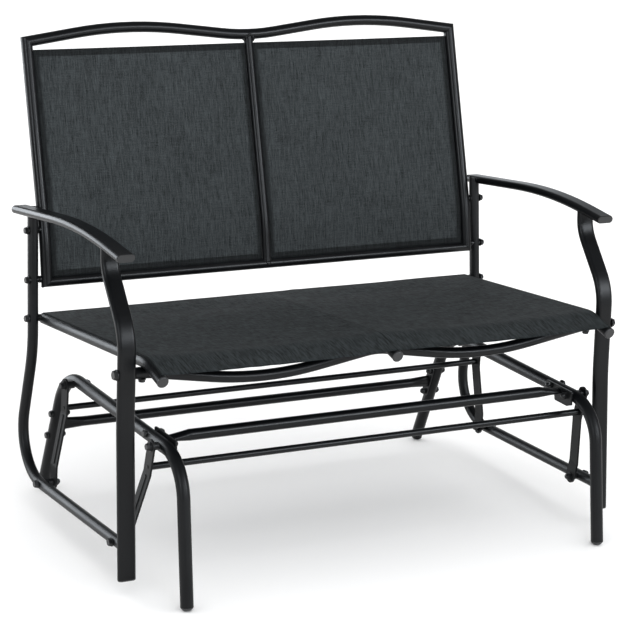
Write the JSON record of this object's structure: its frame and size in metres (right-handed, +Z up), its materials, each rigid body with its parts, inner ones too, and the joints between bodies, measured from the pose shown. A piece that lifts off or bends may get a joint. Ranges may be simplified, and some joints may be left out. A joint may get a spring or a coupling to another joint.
{
  "type": "patio glider bench",
  "caption": "Outdoor glider bench with sling seat and back, bent tube arms and legs, on a floor frame with swinging links.",
  "frame": {"origin": "on the floor under the middle of the bench's bounding box", "axes": "+Z up; +X along the bench's length, towards the sitter's left; the sitter faces -Y"},
  "size_m": [1.1202, 0.7726, 0.9526],
  "materials": {
    "frame_paint": "satin powder coat, near black",
    "link_steel": "satin powder coat, near black",
    "fastener": "black zinc",
    "cap_plastic": "moulded dark grey",
    "edge_rod": "extruded",
    "sling_cloth": "open-weave coated mesh cloth, charcoal"
  },
  "bodies": {
    "base": {"base_frame_left": "frame_paint", "base_frame_right": "frame_paint", "foot_caps": "cap_plastic", "front_crossbar": "frame_paint", "rear_crossbar": "frame_paint", "saddle_plate_left": "frame_paint", "saddle_plate_right": "frame_paint", "rear_bar_plates": "frame_paint", "saddle_bolts": "fastener", "saddle_nuts": "fastener", "rear_leg_bolts": "fastener", "rear_leg_nuts": "fastener", "top_pivot_bolts": "fastener", "top_pivot_nuts": "fastener", "top_spacers": "frame_paint", "top_washers": "fastener"},
    "rear_links": {"rear_link_left": "link_steel", "rear_link_right": "link_steel", "rear_tie_rod": "frame_paint"},
    "front_links": {"front_link_left": "link_steel", "front_link_right": "link_steel", "front_tie_rod": "frame_paint"},
    "seat": {"arm_plugs": "cap_plastic", "armrest_left": "frame_paint", "armrest_right": "frame_paint", "back_bottom_rail": "frame_paint", "back_post": "frame_paint", "back_rail_left": "frame_paint", "back_rail_right": "frame_paint", "back_sling_left": "sling_cloth", "back_sling_right": "sling_cloth", "back_sling_rods": "edge_rod", "back_top_rail": "frame_paint", "cross_tube_plugs": "cap_plastic", "front_cross_tube": "frame_paint", "front_leg_bolts": "fastener", "front_leg_left": "frame_paint", "front_leg_right": "frame_paint", "leg_plugs": "cap_plastic", "low_pivot_bolts": "fastener", "low_pivot_nuts": "fastener", "low_spacers": "frame_paint", "rail_bolts": "fastener", "rail_caps_front": "cap_plastic", "rail_caps_rear": "cap_plastic", "rail_washers": "fastener", "rear_cross_tube": "frame_paint", "rear_side_bolts": "fastener", "rear_side_spacers": "frame_paint", "seat_rail_centre": "frame_paint", "seat_rail_left": "frame_paint", "seat_rail_right": "frame_paint", "seat_sling": "sling_cloth", "seat_sling_rods": "edge_rod", "side_frame_left": "frame_paint", "side_frame_right": "frame_paint"}
  },
  "joints": [
    {"name": "rear_swing", "type": "hinge", "parent": "base", "child": "rear_links", "pos_m": [0, 0.146, 0.2753], "axis": [1, 0, 0], "range_deg": [-12, 12]},
    {"name": "front_swing", "type": "hinge", "parent": "base", "child": "front_links", "pos_m": [0, -0.2455, 0.279], "axis": [1, 0, 0], "range_deg": [-12.6, 12.6]},
    {"name": "seat_turn", "type": "hinge", "parent": "rear_links", "child": "seat", "pos_m": [0, 0.144, 0.0758], "axis": [1, 0, 0], "range_deg": [-13.7, 13.7]}
  ],
  "couplings": [
    {"joint": "front_swing", "follows": "rear_swing", "ratio": 1.026},
    {"joint": "seat_turn", "follows": "rear_swing", "ratio": -1.122}
  ]
}
